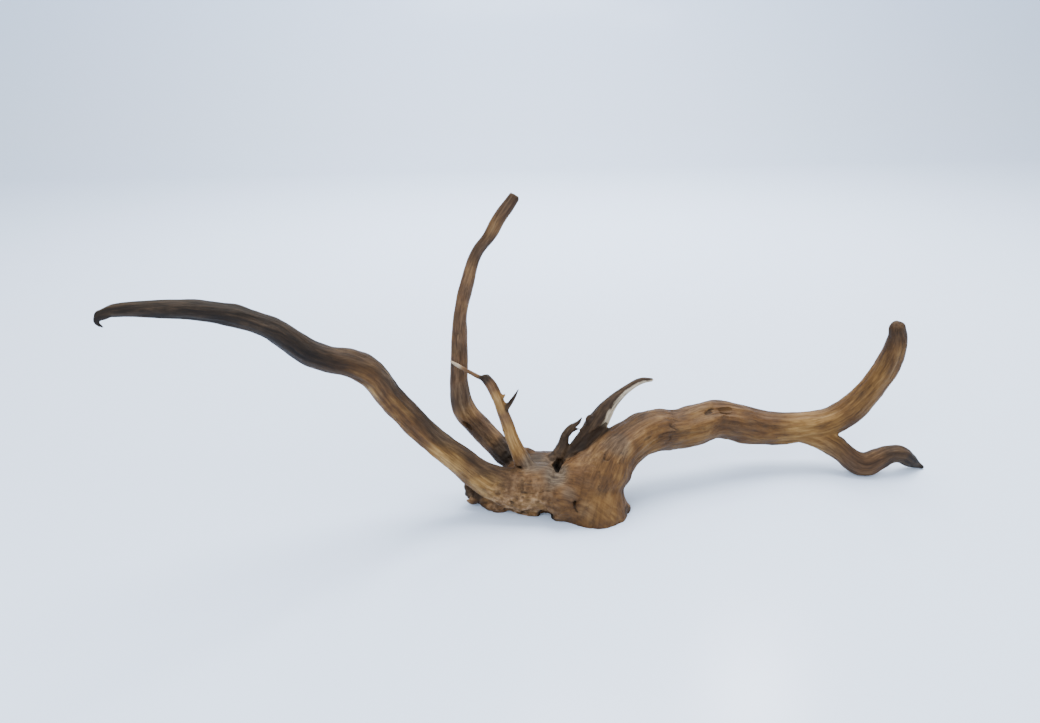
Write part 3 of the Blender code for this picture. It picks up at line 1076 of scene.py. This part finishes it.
def pale_floor():
    mesh = floor_sweep()
    floor = new_object("pale_floor", mesh)
    material = bpy.data.materials.new("pale_sheet")
    material.use_nodes = True
    shader = material.node_tree.nodes["Principled BSDF"]
    shader.inputs["Base Color"].default_value = FLOOR_COLOUR
    shader.inputs["Roughness"].default_value = FLOOR_ROUGHNESS
    shader.inputs["Specular IOR Level"].default_value = FLOOR_SPECULAR
    mesh.materials.append(material)


# Each lamp's place, what it points at, its size (metres), its power (watts) and its colour.
LAMPS = {
    "overhead": ((0.3, 0.7, 1.9), (0, 0.05, 0), 1.2, 76, (1.0, 0.985, 0.965)),
    "behind_right": ((0.85, 1.9, 2.1), (0, 0, 0), 0.3, 14, (1.0, 0.97, 0.94)),
    "front_left": ((-0.7, -1.5, 1.3), (0, 0, 0.08), 1.0, 32, (0.95, 0.975, 1.0)),
    "right_side": ((1.5, -0.6, 1.0), (0, 0, 0.08), 1.1, 10, (1.0, 0.98, 0.95)),
    "backdrop_wash": ((0, 1.2, 1.7), (0, 3.2, 0.4), 1.4, 66, (0.95, 0.975, 1.0)),
}
ROOM_COLOUR = (0.88, 0.94, 1.0, 1.0)
ROOM_STRENGTH = 1.22


def soft_light(name, place, aim, size, power, colour):
    light = bpy.data.lights.new(name, "AREA")
    light.shape = "SQUARE"
    light.size = size
    light.energy = power
    light.color = colour
    lamp = new_object(name, light)
    lamp.location = place
    lamp.rotation_euler = (Vector(aim) - Vector(place)).to_track_quat("-Z", "Y").to_euler()


def studio_light():
    """Five soft lamps in a pale, evenly lit room."""
    for name, settings in LAMPS.items():
        soft_light(name, *settings)
    world = bpy.data.worlds.new("pale_room")
    world.use_nodes = True
    background = world.node_tree.nodes["Background"]
    background.inputs["Color"].default_value = ROOM_COLOUR
    background.inputs["Strength"].default_value = ROOM_STRENGTH
    bpy.context.scene.world = world


CAMERA_PLACE = (-37, -575, 330)     # from the stump's foot, in mm
LOOK_DOWN = 19.8                    # degrees below level
CAMERA_ROLL = -1.2
FILM_WIDTH = 36.0                   # mm
LENS = 27.7                         # mm
NEAREST_SEEN = 0.01                 # metres
FARTHEST_SEEN = 30


def main_camera():
    data = bpy.data.cameras.new("camera")
    data.sensor_fit = "HORIZONTAL"
    data.sensor_width = FILM_WIDTH
    data.lens = LENS
    data.clip_start = NEAREST_SEEN
    data.clip_end = FARTHEST_SEEN
    camera = new_object("camera", data)
    tilt = Matrix.Rotation(radians(90 - LOOK_DOWN), 4, "X")
    roll = Matrix.Rotation(radians(CAMERA_ROLL), 4, "Z")
    place = (Vector(CAMERA_PLACE) + Vector(STUMP_FOOT)) * MM
    camera.matrix_world = Matrix.Translation(place) @ (tilt @ roll)
    bpy.context.scene.camera = camera


def build():
    root = grow_root()
    root.data.materials.clear()
    root.data.materials.append(weathered_wood())
    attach(root, "root")
    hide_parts("driftwood_root")
    pale_floor()
    studio_light()
    main_camera()


build()
